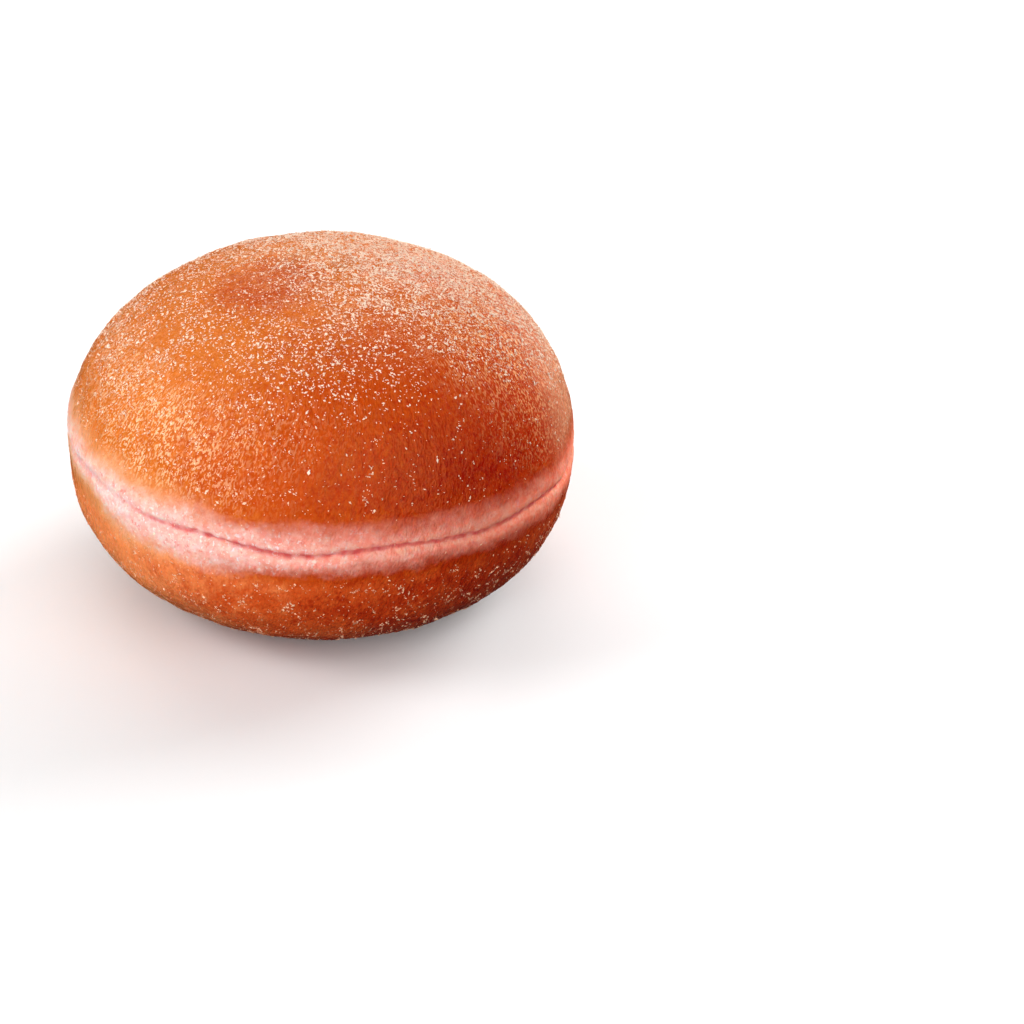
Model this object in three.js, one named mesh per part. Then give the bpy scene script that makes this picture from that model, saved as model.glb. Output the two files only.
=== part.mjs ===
// A mini beignet: a ball of yeast dough, fried on one face and then on the other, so that two browned
// crusts meet at a pale ring round the middle. The ring shrank as the dough cooled, and folded into a crease.
// Millimetres, +Z up. The origin is on the surface it stands on, under the middle of the beignet.
// Azimuth is counted from the front, which faces -Y, and grows towards the right, which is +X.

import * as THREE from "three";

// Driving dimensions
const WIDTH = 60; // across the pale ring
const RING_LEVEL = 18; // from the foot up to the widest level, in the middle of the ring
const DOME_RISE = 22; // from the widest level up to the crown
const FOOT_DEPTH = 20; // from the widest level down to where the foot would close, were it not flattened

// Roundness of the two crusts: 2 is an ellipse, and more is fuller at the shoulder
const DOME_FULLNESS = 2.11;
const FOOT_FULLNESS = 2.53;

// The crease, almost shut on the left, gapes at the front, and the ring swells a little on either side of it
const CREASE_DEPTH = 0.5; // on average
const CREASE_DEPTH_TILT = 0.2; // this much more on the right, and less on the left
const CREASE_GAPE = 0.45; // this much more where it sags at the front
const CREASE_HALF_WIDTH = 0.2;
const CREASE_SHARPNESS = 1.3; // 1 is a sharp V, and 2 a round valley
const CREASE_UNDERCUT = 0.3; // how far the bottom runs up under the upper lip, as a share of its depth
const LIP_SWELL = 0.08;
const LIP_OFFSET = 1.5; // from the crease to the middle of the swelling
const LIP_HALF_WIDTH = 1.1;

// How the crease wanders round the ring, and how far from it the dough is drawn along
const CREASE_RISE = 0.15; // on average, above the widest level
const CREASE_TILT = 1.15; // it is this much higher on the left, and lower on the right
const CREASE_SAG = 0.75; // at the front
const CREASE_SAG_AZIMUTH = THREE.MathUtils.degToRad(-11);
const CREASE_SAG_HALF_WIDTH = THREE.MathUtils.degToRad(12);
const CREASE_RIPPLE = 0.28;
const CREASE_RIPPLE_WAVES = 9;
const CREASE_RIPPLE_PHASE = THREE.MathUtils.degToRad(-78);
const CREASE_DRAW = 6;

// Unevenness of the whole: the crown leans to the right, and the sides swell in slow waves
const CROWN_LEAN = 0.8;
const SWELLS = [
  { waves: 2, height: 0.14, phase: THREE.MathUtils.degToRad(-90) },
  { waves: 3, height: 0.14, phase: THREE.MathUtils.degToRad(20) },
  { waves: 5, height: 0.08, phase: THREE.MathUtils.degToRad(70) },
];

// How finely the surface is divided
const SEGMENTS = 112;
const RING_OFFSETS = [0.16, 0.4, 0.85, 1.4, 2.1, 3.0, 4.2]; // rings of points beside the crease, on either side
const DOME_RINGS = 17;
const FOOT_RINGS = 9;

const CRUST_COLOUR = 0xc8642a;
const CRUST_ROUGHNESS = 0.5;

// Radius of a crust at a height above or below the widest level, on a superellipse of that rise and fullness.
function crustRadius(height, rise, fullness) {
  return (WIDTH / 2) * Math.pow(Math.max(0, 1 - Math.pow(height / rise, fullness)), 1 / fullness);
}

// Heights from the outermost ring offset to the far end of a crust, in even steps round its curve.
function crustHeights(rise, fullness, end, count) {
  const turn = (height) => Math.asin(Math.pow(height / rise, fullness / 2));
  const first = turn(RING_OFFSETS.at(-1));
  const last = turn(end);
  const heights = [];
  for (let i = 1; i <= count; i++) {
    const angle = THREE.MathUtils.lerp(first, last, i / count);
    heights.push(i === count ? end : rise * Math.pow(Math.sin(angle), 2 / fullness));
  }
  return heights;
}

// The even section, from the middle of the foot, out round the ring and up to the crown.
function section() {
  const below = [...RING_OFFSETS, ...crustHeights(FOOT_DEPTH, FOOT_FULLNESS, RING_LEVEL, FOOT_RINGS)];
  const above = [...RING_OFFSETS, ...crustHeights(DOME_RISE, DOME_FULLNESS, DOME_RISE, DOME_RINGS)];
  return [
    new THREE.Vector2(0, 0),
    ...below
      .reverse()
      .map((h) => new THREE.Vector2(crustRadius(h, FOOT_DEPTH, FOOT_FULLNESS), RING_LEVEL - h)),
    new THREE.Vector2(WIDTH / 2, RING_LEVEL),
    ...above.map((h) => new THREE.Vector2(crustRadius(h, DOME_RISE, DOME_FULLNESS), RING_LEVEL + h)),
  ];
}

// A bell of height 1 and the given half width.
function bell(distance, halfWidth) {
  return Math.exp(-Math.pow(distance / halfWidth, 2));
}

// How much of the sag at the front is felt at an azimuth.
function sagShare(azimuth) {
  return bell(azimuth - CREASE_SAG_AZIMUTH, CREASE_SAG_HALF_WIDTH);
}

// How far the crease stands above the widest level.
function creaseWander(azimuth) {
  const ripple = CREASE_RIPPLE * Math.sin(CREASE_RIPPLE_WAVES * azimuth + CREASE_RIPPLE_PHASE);
  return CREASE_RISE + ripple - CREASE_TILT * Math.sin(azimuth) - CREASE_SAG * sagShare(azimuth);
}

// How deep the crease is cut.
function creaseDepth(azimuth) {
  return CREASE_DEPTH + CREASE_DEPTH_TILT * Math.sin(azimuth) + CREASE_GAPE * sagShare(azimuth);
}

// How far the sides swell out, in slow waves that die away at the crown and the foot.
function swell(azimuth, radius) {
  const share = radius / (WIDTH / 2);
  return share * SWELLS.reduce((sum, s) => sum + s.height * Math.cos(s.waves * azimuth + s.phase), 0);
}

// Takes a point of the even body to where it is on the real one.
function asFried(point) {
  const azimuth = Math.atan2(point.x, -point.y);
  const radius = Math.hypot(point.x, point.y);
  const offset = point.z - RING_LEVEL; // from the crease, which is level here, before it wanders
  const inCrease = Math.exp(-Math.pow(Math.abs(offset) / CREASE_HALF_WIDTH, CREASE_SHARPNESS));
  const onLip = bell(Math.abs(offset) - LIP_OFFSET, LIP_HALF_WIDTH);
  const drawn = 1 - THREE.MathUtils.smoothstep(Math.abs(offset), 0, CREASE_DRAW);
  const raised = Math.max(0, offset / DOME_RISE);
  const cut = creaseDepth(azimuth) * inCrease;

  const reach = radius + swell(azimuth, radius) + LIP_SWELL * onLip - cut;
  point.x = reach * Math.sin(azimuth) + CROWN_LEAN * raised * raised;
  point.y = -reach * Math.cos(azimuth);
  point.z += creaseWander(azimuth) * drawn + CREASE_UNDERCUT * cut;
  return point;
}

// The dough: one solid, from the flat of its foot to its crown.
function doughGeometry() {
  const geometry = new THREE.LatheGeometry(section(), SEGMENTS);
  geometry.rotateX(Math.PI / 2); // the lathe turns about Y, and the beignet stands on Z
  const position = geometry.getAttribute("position");
  const point = new THREE.Vector3();
  for (let i = 0; i < position.count; i++) {
    asFried(point.fromBufferAttribute(position, i));
    position.setXYZ(i, point.x, point.y, point.z);
  }
  geometry.computeBoundingBox();
  const middle = geometry.boundingBox.getCenter(new THREE.Vector3());
  geometry.translate(-middle.x, -middle.y, 0);
  geometry.computeVertexNormals();
  return geometry;
}

const dough = new THREE.Mesh(
  doughGeometry(),
  new THREE.MeshStandardMaterial({ color: CRUST_COLOUR, roughness: CRUST_ROUGHNESS, metalness: 0 }),
);
dough.name = "dough";

const beignet = new THREE.Group();
beignet.add(dough);

export default beignet;
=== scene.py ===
import math

import bmesh
import bpy
import numpy as np
from mathutils import Matrix, Vector, noise


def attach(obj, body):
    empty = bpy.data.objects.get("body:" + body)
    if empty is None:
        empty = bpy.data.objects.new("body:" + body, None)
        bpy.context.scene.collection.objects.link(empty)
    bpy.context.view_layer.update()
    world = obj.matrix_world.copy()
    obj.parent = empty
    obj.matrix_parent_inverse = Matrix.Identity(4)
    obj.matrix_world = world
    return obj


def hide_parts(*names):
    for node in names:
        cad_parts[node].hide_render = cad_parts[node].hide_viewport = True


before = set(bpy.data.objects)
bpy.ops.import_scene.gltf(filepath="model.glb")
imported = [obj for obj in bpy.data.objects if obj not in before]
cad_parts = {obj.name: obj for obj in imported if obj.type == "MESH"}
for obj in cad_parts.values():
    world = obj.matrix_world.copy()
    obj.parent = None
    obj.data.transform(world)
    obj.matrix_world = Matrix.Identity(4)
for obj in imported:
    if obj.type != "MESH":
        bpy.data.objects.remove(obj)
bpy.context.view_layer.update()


# The camera
# A long lens a little above the beignet. It is aimed to the right of the beignet and below it, so that
# the beignet stands in the upper left of the frame, as it does in the photograph.
ring_middle = Vector((0, 0, 0.018))
camera_distance = 0.480
camera_elevation = math.radians(27.44)
camera_lens = 142.0
camera_nearest = 0.01
aim_right = math.radians(3.07)
aim_down = math.radians(1.10)
camera_roll = math.radians(1.26)

bpy.ops.object.camera_add()
camera = bpy.context.object
camera.name = "camera"
camera.data.lens = camera_lens
camera.data.clip_start = camera_nearest
camera.location = ring_middle + camera_distance * Vector(
    (0, -math.cos(camera_elevation), math.sin(camera_elevation))
)
camera.rotation_euler = (
    Matrix.Rotation(-aim_right, 3, "Z")
    @ Matrix.Rotation(math.pi / 2 - camera_elevation - aim_down, 3, "X")
    @ Matrix.Rotation(camera_roll, 3, "Z")
).to_euler()
bpy.context.scene.camera = camera
bpy.context.scene.view_settings.view_transform = "Standard"


# The studio
# A plain white table top under a pale sky. Soft lights stand at the left, low at the front left and wide
# at the front right, and two more behind put a pale rim on the crown and on the right side.
floor_width = 6.0
floor_gap = 0.00005  # keeps the table top just under the foot
floor_white = (0.95, 0.95, 0.95, 1)
floor_roughness = 0.8
glow_start = 0.15  # the table top glows further out than this, so that it stays white in low views
glow_full = 0.60
horizon = 0.05  # the sky fades over this much of its height, above and below the level
sky_below = 0.03
sky_above = 0.20

bpy.ops.object.select_all(action="DESELECT")
bpy.ops.mesh.primitive_plane_add(size=floor_width, location=(0, 0, -floor_gap))
floor = bpy.context.object
floor.name = "floor"
floor_material = bpy.data.materials.new("white_table_top")
floor_material.use_nodes = True
floor_nodes = floor_material.node_tree.nodes
floor_links = floor_material.node_tree.links
floor_shader = floor_nodes["Principled BSDF"]
floor_shader.inputs["Base Color"].default_value = floor_white
floor_shader.inputs["Roughness"].default_value = floor_roughness
floor_shader.inputs["Emission Color"].default_value = (1, 1, 1, 1)
from_beignet = floor_nodes.new("ShaderNodeVectorMath")
from_beignet.operation = "LENGTH"
floor_links.new(floor_nodes.new("ShaderNodeTexCoord").outputs["Object"], from_beignet.inputs[0])
glow = floor_nodes.new("ShaderNodeMapRange")
glow.inputs["From Min"].default_value = glow_start
glow.inputs["From Max"].default_value = glow_full
floor_links.new(from_beignet.outputs["Value"], glow.inputs["Value"])
floor_links.new(glow.outputs["Result"], floor_shader.inputs["Emission Strength"])
floor.data.materials.append(floor_material)
floor.visible_glossy = False
floor.visible_diffuse = False

world = bpy.data.worlds.new("pale_sky")
world.use_nodes = True
bpy.context.scene.world = world
sky = world.node_tree.nodes
sky_links = world.node_tree.links
sky["Background"].inputs["Color"].default_value = (1, 1, 1, 1)
direction = sky.new("ShaderNodeTexCoord").outputs["Generated"]
height = sky.new("ShaderNodeSeparateXYZ")
sky_links.new(direction, height.inputs[0])
brightness = sky.new("ShaderNodeMapRange")
brightness.inputs["From Min"].default_value = -horizon
brightness.inputs["From Max"].default_value = horizon
brightness.inputs["To Min"].default_value = sky_below
brightness.inputs["To Max"].default_value = sky_above
sky_links.new(height.outputs["Z"], brightness.inputs["Value"])
sky_links.new(brightness.outputs["Result"], sky["Background"].inputs["Strength"])


def soft_light(name, place, size, watts, glints=True):
    """A square soft light at a place, facing the middle of the beignet."""
    bpy.ops.object.light_add(type="AREA", location=place)
    light = bpy.context.object
    light.name = name
    light.data.size = size
    light.data.energy = watts
    light.visible_glossy = glints
    light.rotation_euler = (ring_middle - Vector(place)).to_track_quat("-Z", "Y").to_euler()


soft_light("key_light", place=(-0.61, -0.06, 0.40), size=0.34, watts=2.3)
soft_light("fill_light", place=(0.30, -0.62, 0.38), size=1.00, watts=4.4)
soft_light("low_light", place=(-0.50, -0.57, 0.06), size=0.30, watts=4.8, glints=False)
soft_light("back_light", place=(-0.12, 0.80, 0.55), size=0.90, watts=5.1, glints=False)
soft_light("rim_light", place=(0.70, 0.60, 0.35), size=0.60, watts=11.4, glints=False)


# The dough
# A ball of yeast dough, fried on one face and then the other. The two crusts browned and wrinkled in
# the oil, and the ring between them stayed above it, pale and matt, and folded into a crease as it shrank.
MM = 0.001
fold_angle = math.radians(40)  # the crease is the only edge of the solid that is folded more than this
merge_distance = 0.001 * MM

bpy.ops.object.select_all(action="DESELECT")
dough = bpy.data.objects.new("beignet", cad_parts["dough"].data.copy())
bpy.context.collection.objects.link(dough)
dough.data.materials.clear()
dough.select_set(True)
bpy.context.view_layer.objects.active = dough

# The solid's triangles become a net of quads, with the bottom of the crease held sharp.
bpy.ops.object.mode_set(mode="EDIT")
bpy.ops.mesh.select_mode(type="EDGE")
bpy.ops.mesh.select_all(action="SELECT")
bpy.ops.mesh.remove_doubles(threshold=merge_distance)
bpy.ops.mesh.tris_convert_to_quads()
bpy.ops.mesh.select_all(action="DESELECT")
bpy.ops.mesh.edges_select_sharp(sharpness=fold_angle)
bpy.ops.transform.edge_crease(value=1.0)
bpy.ops.object.mode_set(mode="OBJECT")


def azimuths(points):
    """The angle of each point about the upright axis, from the front and towards the right."""
    return np.arctan2(points[:, 0], -points[:, 1])


def vertex_places(mesh):
    """The places of a mesh's vertices, one row each."""
    places = np.empty(3 * len(mesh.vertices), np.float32)
    mesh.vertices.foreach_get("co", places)
    return places.reshape(-1, 3).astype(float)


# Where the crease runs: its height at each degree of azimuth, read off the solid.
places = vertex_places(dough.data)
valley = places[sorted({v for e in dough.data.edges if e.select for v in e.vertices})]
valley = valley[np.argsort(azimuths(valley))]
ring_turns = np.linspace(-math.pi, math.pi, 361)
crease_heights = np.interp(ring_turns, azimuths(valley), valley[:, 2], period=2 * math.pi)

# The pale ring runs more evenly than the crease does.
averaged_over = 61  # degrees
weights = np.hanning(averaged_over)
overlap = averaged_over // 2
before = crease_heights[-overlap - 1 : -1]
after = crease_heights[1 : overlap + 1]
all_round = np.concatenate([before, crease_heights, after])
ring_heights = np.convolve(all_round, weights / weights.sum(), mode="valid")

# A finer net: smoothed once, then cut into narrow columns, as the wrinkles of the crust run up and down.
dome_start = 22.5 * MM
column_cuts = 2
dome_row_cuts = 1
round_enough = 0.7  # the least share of an edge that lies along the ring, when it is said to go round

smoothing = dough.modifiers.new("smoothing", "SUBSURF")
smoothing.levels = 1
smoothing.render_levels = 1
bpy.ops.object.modifier_apply(modifier=smoothing.name)


def goes_round(middle, direction):
    """Whether an edge goes round the beignet, and not up it."""
    return abs(direction.dot(Vector((-middle.y, middle.x, 0)).normalized())) > round_enough


def goes_up_dome(middle, direction):
    """Whether an edge of the dome goes up it."""
    return middle.z > dome_start and not goes_round(middle, direction)


def select_edges(wanted):
    """Selects the edges of the mesh in edit mode that the test wants, given their middle and direction."""
    bpy.ops.mesh.select_all(action="DESELECT")
    net = bmesh.from_edit_mesh(dough.data)
    for edge in net.edges:
        first, second = (v.co for v in edge.verts)
        edge.select_set(wanted((first + second) / 2, (second - first).normalized()))
    net.select_flush_mode()
    bmesh.update_edit_mesh(dough.data)


bpy.ops.object.mode_set(mode="EDIT")
bpy.ops.mesh.select_mode(type="EDGE")
select_edges(goes_round)
bpy.ops.mesh.subdivide(number_cuts=column_cuts)
select_edges(goes_up_dome)
bpy.ops.mesh.subdivide(number_cuts=dome_row_cuts)
bpy.ops.object.mode_set(mode="OBJECT")

places = vertex_places(dough.data)
turns = azimuths(places)
over_ring = places[:, 2] - np.interp(turns, ring_turns, ring_heights)
over_crease = places[:, 2] - np.interp(turns, ring_turns, crease_heights)
ring_attribute = dough.data.attributes.new("over_ring", "FLOAT", "POINT")
ring_attribute.data.foreach_set("value", (over_ring / MM).astype(np.float32))


def ramp(values, low, high):
    """0 below low, 1 above high, and a smooth rise between."""
    share = np.clip((values - low) / (high - low), 0, 1)
    return share * share * (3 - 2 * share)


def bell(distances, half_width):
    """1 at no distance, falling to almost 0 at twice the half width."""
    return np.exp(-((distances / half_width) ** 2))


def keep_share(name, shares, steps=50):
    """Keeps a share from 0 to 1 for each vertex in a vertex group, in even steps."""
    group = dough.vertex_groups.new(name=name)
    stepped = np.round(shares * steps).astype(int)
    for step in np.unique(stepped):
        group.add(np.nonzero(stepped == step)[0].tolist(), float(step) / steps, "REPLACE")


# Which part of the beignet each vertex is on.
off_foot = ramp(places[:, 2], 0.3 * MM, 3.0 * MM)
on_crust = ramp(np.abs(over_ring), 2.6 * MM, 4.6 * MM) * off_foot
on_ring = 1 - ramp(np.abs(over_ring), 3.0 * MM, 4.4 * MM)
keep_share("off_foot", off_foot)
keep_share("crust", on_crust)
keep_share("ring", on_ring)

# The run of the wrinkles: round the beignet and, from the ring to the crown, up it, leaning a little.
body_middle = (0, 0, 18 * MM)
body_reach = (30 * MM, 30 * MM, 21 * MM)
crown_radius = 20 * MM  # nearer the axis than this the wrinkles no longer draw together
wrinkle_lean = math.radians(9)
out_from_axis = np.hypot(places[:, 0], places[:, 1])
rise = np.arctan2(over_ring / body_reach[2], out_from_axis / body_reach[0])
drawn_together = body_reach[0] * out_from_axis / np.maximum(out_from_axis, crown_radius)
leaning = turns - math.tan(wrinkle_lean) * rise
upwards = rise * (body_reach[0] + body_reach[2]) / 2
wrinkle_run = np.stack(
    (drawn_together * np.sin(leaning), -drawn_together * np.cos(leaning), upwards), axis=1
)
run_attribute = dough.data.attributes.new("wrinkle_run", "FLOAT_VECTOR", "POINT")
run_attribute.data.foreach_set("vector", wrinkle_run.astype(np.float32).ravel())

# The fold gapes where it sags at the front, is grown together along a stretch on the left, and is almost
# healed at one end of that stretch. Its dark line is ragged: the crumb's deeper red in the fold, darkened
# with painted shade.
gape = bell(turns - math.radians(-11), math.radians(16))
healed = bell(turns - math.radians(-50), math.radians(9))
stretch_start = ramp(turns, math.radians(-110), math.radians(-85))
stretch_end = ramp(turns, math.radians(-50), math.radians(-42))
left_stretch = np.clip(stretch_start - stretch_end, 0, 1)
ragged_step = math.radians(2.2)
ragged = np.array([noise.noise(Vector((turn / ragged_step, 0, 0))) for turn in turns])
fold_shade_width = (0.20 + 0.18 * gape + 0.20 * left_stretch) * (1 + 0.5 * ragged) * MM
fold_shade_strength = 0.80 + 0.20 * gape - 0.50 * left_stretch - 0.25 * healed
fold_shade_share = fold_shade_strength * bell(over_crease, fold_shade_width) * np.clip(0.85 + 0.9 * ragged, 0.25, 1)
crease_attribute = dough.data.attributes.new("in_crease", "FLOAT", "POINT")
crease_attribute.data.foreach_set("value", fold_shade_share.astype(np.float32))

# Away from the gape the lips almost meet, and along the stretch on the left they are one.
beside_crease = np.abs(over_crease)
shut = (beside_crease < 0.4 * MM) & (gape < 0.5)
grown_together = (beside_crease < 0.6 * MM) & (left_stretch > 0.5)
rounds_to_shut = 3
rounds_to_grow = 60
for lips, rounds in ((shut, rounds_to_shut), (grown_together, rounds_to_grow)):
    dough.data.vertices.foreach_set("select", lips)
    bpy.ops.object.mode_set(mode="EDIT")
    bpy.ops.mesh.select_mode(type="VERT")
    bpy.ops.mesh.vertices_smooth(factor=0.5, repeat=rounds)
    bpy.ops.object.mode_set(mode="OBJECT")


def raise_by(name, group, grain, height, stretch=1.0, depth=1):
    """Raises and lowers the surface by soft noise of that grain, stretched along the height."""
    texture = bpy.data.textures.new(name, "CLOUDS")
    texture.noise_scale = grain
    texture.noise_depth = depth
    frame_of_texture = bpy.data.objects.new(name + "_frame", None)
    bpy.context.collection.objects.link(frame_of_texture)
    frame_of_texture.scale = (1, 1, stretch)
    relief = dough.modifiers.new(name, "DISPLACE")
    relief.texture = texture
    relief.texture_coords = "OBJECT"
    relief.texture_coords_object = frame_of_texture
    relief.vertex_group = group
    relief.strength = height
    relief.mid_level = 0.6  # over the middle of the noise, so that the surface stays in the solid's box
    bpy.context.view_layer.update()
    bpy.ops.object.modifier_apply(modifier=relief.name)
    bpy.data.objects.remove(frame_of_texture)


raise_by("slow_swell", "off_foot", grain=9 * MM, height=0.5 * MM)
raise_by("crust_dimples", "crust", grain=2.6 * MM, height=0.25 * MM, stretch=1.6)
raise_by("ring_crumb", "ring", grain=0.7 * MM, height=0.18 * MM, stretch=1.1, depth=2)

# The coarser wrinkles of the crust, which fade where they would crowd at the crown.
wrinkle_size = np.array((0.6, 0.6, 1.3)) * MM
wrinkle_height = 0.09 * MM
off_axis = ramp(out_from_axis, 2 * MM, 8 * MM)
wrinkled = np.array([noise.noise(Vector(point)) for point in wrinkle_run / wrinkle_size])
facing_out = np.empty(3 * len(dough.data.vertices), np.float32)
dough.data.vertices.foreach_get("normal", facing_out)
raised = (wrinkle_height * wrinkled * on_crust * off_axis)[:, None] * facing_out.reshape(-1, 3)
dough.data.vertices.foreach_set("co", (vertex_places(dough.data) + raised).ravel())
dough.data.update()
bpy.ops.object.shade_smooth()

crust_material = bpy.data.materials.new("fried_dough")
crust_material.use_nodes = True
tree = crust_material.node_tree
shader = tree.nodes["Principled BSDF"]


def node(kind, **settings):
    """Adds a node to the material that is being made, with its properties and plain inputs set."""
    made = tree.nodes.new(kind)
    for name, value in settings.items():
        if hasattr(made, name):
            setattr(made, name, value)
        else:
            made.inputs[name.replace("_", " ")].default_value = value
    return made


def link(source, target):
    """Links two sockets of the material that is being made."""
    tree.links.new(source, target)


coordinates = node("ShaderNodeTexCoord").outputs["Object"]


def grain(size, detail=2.0, roughness=0.5, stretch=1.0, offset=0.0, along=None):
    """Noise of that grain size in metres, stretched along the height, or along other coordinates."""
    mapping = node("ShaderNodeMapping", vector_type="TEXTURE")
    mapping.inputs["Scale"].default_value = (1, 1, stretch)
    mapping.inputs["Location"].default_value = (offset, offset, offset)
    link(along or coordinates, mapping.inputs["Vector"])
    made = node("ShaderNodeTexNoise", Scale=1 / size, Detail=detail, Roughness=roughness)
    link(mapping.outputs["Vector"], made.inputs["Vector"])
    return made.outputs["Fac"]


def spread(value, low, high, to_low=0.0, to_high=1.0):
    """Stretches a value between two limits over another range, with a smooth step."""
    made = node("ShaderNodeMapRange", interpolation_type="SMOOTHSTEP")
    made.inputs["From Min"].default_value = low
    made.inputs["From Max"].default_value = high
    made.inputs["To Min"].default_value = to_low
    made.inputs["To Max"].default_value = to_high
    link(value, made.inputs["Value"])
    return made.outputs["Result"]


def sum_of(first, second, first_share=1.0, second_share=1.0):
    """A weighted sum of two values."""
    one = node("ShaderNodeMath", operation="MULTIPLY")
    link(first, one.inputs[0])
    one.inputs[1].default_value = first_share
    both = node("ShaderNodeMath", operation="MULTIPLY_ADD")
    link(second, both.inputs[0])
    both.inputs[1].default_value = second_share
    link(one.outputs[0], both.inputs[2])
    return both.outputs[0]


def product(first, second):
    """The product of two values."""
    made = node("ShaderNodeMath", operation="MULTIPLY")
    link(first, made.inputs[0])
    link(second, made.inputs[1])
    return made.outputs[0]


def blend_colours(share, first, second):
    """A colour between two, by a share. Each is a colour or another blend."""
    made = node("ShaderNodeMix", data_type="RGBA")
    for colour, place in ((first, 6), (second, 7)):
        if isinstance(colour, tuple):
            made.inputs[place].default_value = (*colour, 1)
        else:
            link(colour, made.inputs[place])
    link(share, made.inputs[0])
    return made.outputs[2]


def vector_math(operation, vector, fixed, output="Vector"):
    """What an operation makes of a vector and a fixed one."""
    made = node("ShaderNodeVectorMath", operation=operation)
    link(vector, made.inputs[0])
    made.inputs[1].default_value = fixed
    return made.outputs[output]


def lies_towards(vector, way):
    """How far a vector reaches in a direction."""
    return vector_math("DOT_PRODUCT", vector, way, "Value")


def distance_from(place):
    """The distance of the surface from a place."""
    return vector_math("DISTANCE", coordinates, place, "Value")


def attribute(name, output="Fac"):
    """One of the mesh's own attributes."""
    return node("ShaderNodeAttribute", attribute_name=name).outputs[output]


# Where on the beignet the surface is. The height over the ring is in millimetres.
# Towards this side, front right and facing down, the crust is darker: partly browning, partly painted shade.
browned_and_shaded_side = (0.66, -0.70, -0.27)
outward = vector_math("DIVIDE", vector_math("SUBTRACT", coordinates, body_middle), body_reach)
to_browned_and_shaded = lies_towards(outward, browned_and_shaded_side)
axes = node("ShaderNodeSeparateXYZ")
link(coordinates, axes.inputs[0])
sideways = axes.outputs["X"]
upright = axes.outputs["Z"]
over = attribute("over_ring")
to_right = spread(sideways, -30 * MM, 30 * MM)
# Painted shade: the crust darkens over its last 5 mm above the table.
foot_shade = spread(upright, 5 * MM, 0.0)
on_foot = spread(over, -2.5, -5.0)
on_dome = spread(over, 2.5, 5.5, to_low=0.12)

# How brown the crust is: golden on the left, and darker in slow blotches towards the front right and
# underneath, partly browning and partly painted shade, and browner in a patch left of the crown. The lower
# crust is paler, painted light that stands in for the light the table throws up, and blotched, and darker
# at its foot, painted shade where the table top shades it.
brown_patch = (-7 * MM, -2 * MM, 38.5 * MM)
to_patch = spread(distance_from(brown_patch), 11 * MM, 3 * MM)
blotches = grain(11 * MM, detail=3)
mottle = grain(1.6 * MM, detail=4, roughness=0.6, stretch=1.6)
specks = grain(0.55 * MM, roughness=0.6, stretch=1.5, offset=0.15)
foot_blotches = product(on_foot, grain(3.2 * MM, detail=3, roughness=0.6, offset=0.35))
# Paler on the foot, painted light thrown up from the table, and darker at its base, painted shade.
ends = sum_of(sum_of(foot_shade, on_foot, 0.35, -0.78), to_patch, 1.0, 0.55)
ends = sum_of(ends, foot_blotches)
marks = sum_of(sum_of(blotches, mottle, 0.3, 0.34), specks, 1.0, 0.85)
beside_ring = product(spread(over, 7.0, 2.5), spread(over, -6.0, -3.0))
browning = sum_of(sum_of(to_browned_and_shaded, ends), marks)
browning = sum_of(browning, beside_ring, 1.0, -0.25)

# Each shade of the crust, on the dome and on the foot. The foot's are paler: painted light from the table.
golden = blend_colours(on_foot, (0.71, 0.163, 0.014), (0.98, 0.27, 0.080))
amber = blend_colours(on_foot, (0.535, 0.057, 0.002), (0.70, 0.090, 0.014))
brown = blend_colours(on_foot, (0.445, 0.025, 0.0008), (0.50, 0.036, 0.005))
dark = blend_colours(on_foot, (0.35, 0.005, 0.0004), (0.37, 0.012, 0.002))
crust_colour = blend_colours(spread(browning, 0.45, 1.15), golden, amber)
crust_colour = blend_colours(spread(browning, 1.15, 1.48), crust_colour, brown)
crust_colour = blend_colours(spread(browning, 1.48, 1.71), crust_colour, dark)

# A pale film low on the right and the back of the dome: fine sugar dust and a painted sheen of grazing light.
right_and_back = (0.75, 0.66, 0.0)
dust_and_sheen_colour = (0.92, 0.43, 0.22)
to_far_right = spread(lies_towards(coordinates, right_and_back), 9 * MM, 19 * MM)
# Painted sheen together with the fine dust, low on the far right.
dust_and_sheen = product(product(to_far_right, on_dome), spread(upright, 36 * MM, 27 * MM, to_high=0.45))
crust_colour = blend_colours(dust_and_sheen, crust_colour, dust_and_sheen_colour)

# Pale flecks on the crests of the fine wrinkles of the dome: painted glints on its left and on its right
# shoulder, and fine sugar dust, palest and with a painted highlight, where most of the sugar fell.
right_shoulder = (0.85, 0.0, 0.52)
shaken_from = (0.38, 0.30, 0.87)
heap_middle = (10 * MM, 3 * MM, 39 * MM)
# Painted glint colours, pale and warm, for the crests that catch the light.
left_glint = (0.98, 0.64, 0.37)
heap_dust_and_highlight = (0.95, 0.74, 0.63)
run = attribute("wrinkle_run", "Vector")
fine_wrinkles = grain(0.25 * MM, detail=1, stretch=1.9, offset=0.7, along=run)
grouped = spread(grain(2.2 * MM, offset=0.8), 0.32, 0.58, to_low=0.35)
left_glint_share = product(
    spread(to_browned_and_shaded, -0.05, 0.62, to_low=0.76, to_high=0.02),
    spread(over, 10.5, 16.0, to_low=1.0, to_high=0.15),
)
left_glint_share = product(left_glint_share, spread(sideways, -29 * MM, -22 * MM, to_low=0.4))
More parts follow.
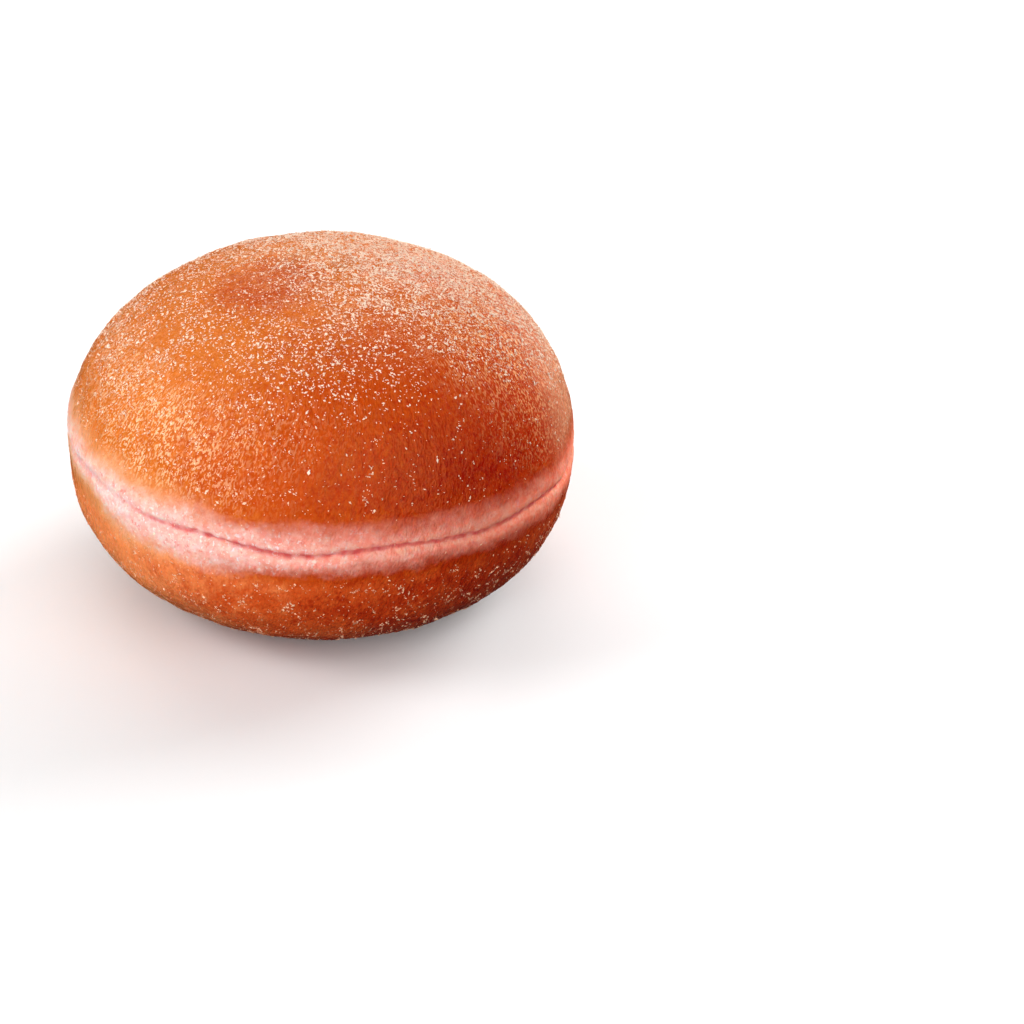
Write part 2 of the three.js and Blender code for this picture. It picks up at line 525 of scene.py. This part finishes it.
# Painted glints on the right shoulder, and sugar dust over the crown.
shoulder_glint_share = spread(lies_towards(outward, right_shoulder), 0.70, 0.98, to_low=0.02, to_high=0.85)
dusted_share = spread(lies_towards(outward, shaken_from), 0.58, 0.95, to_high=0.7)
right_and_crown = sum_of(shoulder_glint_share, dusted_share, 0.8, 1.0)
glint_and_dust_share = product(grouped, product(on_dome, sum_of(left_glint_share, right_and_crown)))
crests = product(spread(fine_wrinkles, 0.50, 0.60), glint_and_dust_share)
right_glint = blend_colours(to_far_right, (0.88, 0.37, 0.15), (0.91, 0.51, 0.33))
glint_and_dust_colour = blend_colours(to_right, left_glint, right_glint)
to_heap = spread(distance_from(heap_middle), 11 * MM, 2 * MM)
glint_and_dust_colour = blend_colours(to_heap, glint_and_dust_colour, heap_dust_and_highlight)
crust_colour = blend_colours(crests, crust_colour, glint_and_dust_colour)

# How much of the surface is pale ring. Its edges are uneven, and the lower one dips on the left.
coarse_edge = grain(3.5 * MM, detail=3, roughness=0.6, stretch=0.7, offset=0.3)
fine_edge = grain(0.5 * MM, stretch=1.4, offset=0.1)
uneven = sum_of(coarse_edge, fine_edge, 3.4, 0.9)
above = sum_of(over, uneven)
far_left = spread(sideways, -23 * MM, -29 * MM)
near_left = product(spread(sideways, -28 * MM, -22 * MM), spread(sideways, 0.0, -14 * MM))
below = sum_of(sum_of(over, far_left, -1.0, 1.2), sum_of(uneven, near_left, 1.0, -1.6))
upper_share = spread(above, 2.5, 6.5, to_low=1.0, to_high=0.0)
lower_share = spread(below, 2.6, 5.6, to_low=1.0, to_high=0.0)
ring_share = product(upper_share, lower_share)

# A paler halo in the crust beside the ring, on the left.
halo_colour = (1.0, 0.48, 0.22)
halo_above = spread(above, 4.5, 8.0, to_low=1.0, to_high=0.0)
halo_below = spread(below, 4.5, 7.5, to_low=1.0, to_high=0.0)
halo = product(product(halo_above, halo_below), spread(sideways, -26 * MM, -9 * MM, to_low=0.65, to_high=0.0))
crust_colour = blend_colours(halo, crust_colour, halo_colour)

# The ring's colour: pink crumb, paler on the left, with pores, pale crumbs and the dark line of the fold,
# which is the crumb's deeper red there with painted shade.
pore_colour = (0.90, 0.25, 0.22)
crumb_colour = (0.98, 0.86, 0.83)
# Painted shade in the fold, over the crumb's deeper red.
fold_shade_colour = (0.70, 0.06, 0.07)
rosy = blend_colours(to_right, (0.98, 0.50, 0.44), (1.0, 0.215, 0.125))
pale = blend_colours(to_right, (1.0, 0.70, 0.645), (1.0, 0.34, 0.225))
crumb_mottle = spread(grain(1.1 * MM, detail=4, roughness=0.65, offset=0.2), 0.38, 0.62)
pores = spread(grain(0.9 * MM, detail=3, roughness=0.65, offset=0.4), 0.56, 0.70, to_high=0.8)
crumbs = spread(grain(0.45 * MM, roughness=0.6, stretch=1.15, offset=0.6), 0.56, 0.68)
to_left = spread(to_right, 0.3, 0.75, to_low=0.9, to_high=0.12)
pink = blend_colours(crumb_mottle, rosy, pale)
pink = blend_colours(pores, pink, pore_colour)
pink = blend_colours(product(crumbs, to_left), pink, crumb_colour)
pink = blend_colours(attribute("in_crease"), pink, fold_shade_colour)
link(blend_colours(ring_share, crust_colour, pink), shader.inputs["Base Color"])

# Oiled crust is satin, and the bare crumb matt and softer to light.
matt_roughness = 0.75
crust_gloss = grain(1.2 * MM, detail=3, roughness=0.6, stretch=1.8, offset=0.5)
crust_roughness = spread(crust_gloss, 0.3, 0.7, to_low=0.18, to_high=0.32)
roughness = node("ShaderNodeMix", data_type="FLOAT")
link(ring_share, roughness.inputs[0])
link(crust_roughness, roughness.inputs[2])
roughness.inputs[3].default_value = matt_roughness
link(roughness.outputs[0], shader.inputs["Roughness"])
link(spread(ring_share, 0.0, 1.0, to_low=0.15, to_high=0.6), shader.inputs["Subsurface Weight"])
shader.inputs["Subsurface Radius"].default_value = (1.0, 0.35, 0.2)
shader.inputs["Subsurface Scale"].default_value = 1.0 * MM
shader.inputs["Specular IOR Level"].default_value = 0.43
shader.inputs["Specular Tint"].default_value = (1.0, 0.58, 0.20, 1)

# The finest wrinkles, too small for the mesh.
coarser_wrinkles = grain(0.45 * MM, detail=1, stretch=2.0, offset=0.9, along=run)
bump = node("ShaderNodeBump", Strength=1.0, Distance=0.12 * MM)
link(sum_of(fine_wrinkles, coarser_wrinkles, 1.0, 0.9), bump.inputs["Height"])
link(bump.outputs["Normal"], shader.inputs["Normal"])

dough.data.materials.append(crust_material)
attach(dough, "root")
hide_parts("dough")


# The sugar
# Caster sugar and its dust, tossed on from the back right while the crust was warm. The grains are small flat
# crystals stuck to the crust, thickest right of the crown, thin on the rest of the dome and stray below it.
sugar_seed = 7
draw = np.random.default_rng(sugar_seed)

dough.data.calc_loop_triangles()
corners = np.empty(3 * len(dough.data.loop_triangles), np.int32)
dough.data.loop_triangles.foreach_get("vertices", corners)
corners = vertex_places(dough.data)[corners.reshape(-1, 3)]
crossed = np.cross(corners[:, 1] - corners[:, 0], corners[:, 2] - corners[:, 0])
areas = np.linalg.norm(crossed, axis=1) / 2
surface = areas.sum()


def scatter(count):
    """Points spread evenly over the dough, and the way the surface faces at each."""
    chosen = draw.choice(len(areas), count, p=areas / surface)
    first, second = draw.random((2, count))
    over_edge = first + second > 1
    first[over_edge] = 1 - first[over_edge]
    second[over_edge] = 1 - second[over_edge]
    a, b, c = (corners[chosen, k] for k in range(3))
    points = a + first[:, None] * (b - a) + second[:, None] * (c - a)
    normals = crossed[chosen] / np.linalg.norm(crossed[chosen], axis=1, keepdims=True)
    return points, normals


def drifts(points, size, shift):
    """A slow noise of that size at each point, about 0."""
    return np.array([noise.noise(Vector(p) / size + Vector(shift)) for p in points])


crown_up = np.array((0.28, 0.12, 0.95))
thin_spot = np.array((-9, -2, 38.5)) * MM  # a patch left of the crown that was rubbed almost clean
thin_spot_radius = 6.5 * MM
rubbed_off = 0.85
heap_radius = 7 * MM
heap_extra = 0.5
thin_cover = 0.34  # on the rest of the dome


def settled_sugar(points, ways):
    """How thick the sugar lies that fell and stayed, and where it covers the dough at all."""
    shaken = ramp(ways @ np.array(shaken_from), 0.60, 0.96)
    crowned = ramp(ways @ crown_up, 0.77, 0.97)
    aside = 0.15 * ramp(-ways[:, 0], 0.3, 0.7) + 0.55 * ramp(ways[:, 0], 0.10, 0.45)
    lower_on_left = 0.22 * ramp(-ways[:, 0], 0.4, 0.8)
    thin = thin_cover * ramp(ways[:, 2] + lower_on_left, 0.58, 0.85) * (1 - aside)
    cover = np.maximum(np.maximum(shaken, crowned), thin)
    rubbed = 1 - rubbed_off * bell(np.linalg.norm(points - thin_spot, axis=1), thin_spot_radius)
    piled = 1 + heap_extra * bell(np.linalg.norm(points - np.array(heap_middle), axis=1), heap_radius)
    patchy = 0.75 + 0.8 * drifts(points, 3.4 * MM, (9, 4, 2))
    strings = 1 - ramp(np.abs(drifts(points, 0.7 * MM, (5, 1, 3))), 0.06, 0.24)
    return cover * rubbed * piled * patchy * (0.2 + 1.2 * strings), cover


def stray_sugar(points, ways, above_ring):
    """How thick the stray sugar lies: sprinkled all over, and in broken chains that run up and down."""
    on_golden = 1 - ramp(ways @ np.array(browned_and_shaded_side), -0.1, 0.75)
    sprinkled = np.where(above_ring > 0, 0.01 + 0.06 * on_golden, 0.025)
    chained = bell(drifts(points * (1, 1, 0.5), 1.5 * MM, (0, 0, 0)), 0.06)
    broken = ramp(drifts(points, 1.6 * MM, (2, 7, 1)), -0.08, 0.25)
    return sprinkled + 0.75 * chained * broken * np.where(above_ring > 0, 0.4, 1.1)


def sugar_cover(points, stray_share):
    """How thick the sugar lies, from 0 to 1, by where on the beignet it is."""
    ways = (points - np.array(body_middle)) / np.array(body_reach)
    ways = ways / np.linalg.norm(ways, axis=1, keepdims=True)
    above_ring = points[:, 2] - np.interp(azimuths(points), ring_turns, ring_heights)
    settled, cover = settled_sugar(points, ways)
    stray = stray_share * stray_sugar(points, ways, above_ring)
    off_ring = 0.02 + 0.98 * ramp(np.abs(above_ring), 3.2 * MM, 5.0 * MM)
    off_table = ramp(points[:, 2], 0.6 * MM, 2.0 * MM)
    return np.clip(settled + (1 - cover) * stray, 0, 1) * off_ring * off_table


def random_turns(normals, lean):
    """Axes for grains that lie flat on the surface, turned any way and leaning a little."""
    up = normals + lean * draw.normal(size=normals.shape)
    up = up / np.linalg.norm(up, axis=1, keepdims=True)
    along = np.cross(up, draw.normal(size=normals.shape))
    along = along / np.linalg.norm(along, axis=1, keepdims=True)
    return along, np.cross(up, along), up


# The shape of a grain, as shares of its size
grain_length = 1.3
grain_width = 0.7
grain_height = 0.4
grain_lean = 0.35
grain_lift = 0.08  # of its middle above the crust
tip_reach = (0.32, 0.68)  # from its middle to a tip, before it is made long and flat
size_limits = (0.5, 1.9)  # of its size to the usual one


def strew(name, per_square_mm, size, size_spread, stray_share):
    """One mesh of many grains, each an uneven double pyramid of its own size and turn."""
    points, normals = scatter(int(per_square_mm * surface / MM**2))
    keep = draw.random(len(points)) < sugar_cover(points, stray_share)
    points, normals = points[keep], normals[keep]
    count = len(points)
    sizes = size * np.clip(np.exp(size_spread * draw.normal(size=count)), *size_limits)
    along, across, up = random_turns(normals, grain_lean)
    reach = draw.uniform(*tip_reach, (6, count, 1)) * sizes[:, None]
    tips = np.stack(
        (
            along * grain_length * reach[0],
            across * grain_width * reach[1],
            -along * grain_length * reach[2],
            -across * grain_width * reach[3],
            up * grain_height * reach[4],
            -up * grain_height * reach[5],
        ),
        axis=1,
    )
    centres = points + normals * (sizes * grain_lift)[:, None]
    vertices = (tips + centres[:, None]).reshape(-1, 3)
    upper_sides = [(i, (i + 1) % 4, 4) for i in range(4)]
    lower_sides = [((i + 1) % 4, i, 5) for i in range(4)]
    first_tips = len(tips[0]) * np.arange(count)
    faces = (np.array(upper_sides + lower_sides)[None] + first_tips[:, None, None]).reshape(-1, 3)
    mesh = bpy.data.meshes.new(name)
    mesh.from_pydata(vertices.tolist(), [], faces.tolist())
    mesh.validate()
    grains = bpy.data.objects.new(name, mesh)
    bpy.context.collection.objects.link(grains)
    return grains


sugar_grains = strew("sugar_grains", per_square_mm=18.0, size=0.25 * MM, size_spread=0.25, stray_share=0.35)
sugar_dust = strew("sugar_dust", per_square_mm=20.0, size=0.15 * MM, size_spread=0.2, stray_share=1.3)

# The crust shows through the grains, and most through the lower ones, which have begun to melt.
clear_sugar = (0.96, 0.81, 0.68)
tinged_sugar = (0.95, 0.65, 0.46)
melted_sugar = (0.94, 0.57, 0.36)
sugar_roughness = 0.3
sugar_ior = 1.54
sugar_material = bpy.data.materials.new("sugar")
sugar_material.use_nodes = True
tree = sugar_material.node_tree
shader = tree.nodes["Principled BSDF"]
coordinates = node("ShaderNodeTexCoord").outputs["Object"]
axes = node("ShaderNodeSeparateXYZ")
link(coordinates, axes.inputs[0])
tint = blend_colours(spread(grain(0.5 * MM), 0.3, 0.7), clear_sugar, tinged_sugar)
tint = blend_colours(spread(axes.outputs["Z"], 15 * MM, 31 * MM), melted_sugar, tint)
link(tint, shader.inputs["Base Color"])
shader.inputs["Roughness"].default_value = sugar_roughness
shader.inputs["IOR"].default_value = sugar_ior
for sugar in (sugar_grains, sugar_dust):
    sugar.data.materials.append(sugar_material)
    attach(sugar, "root")
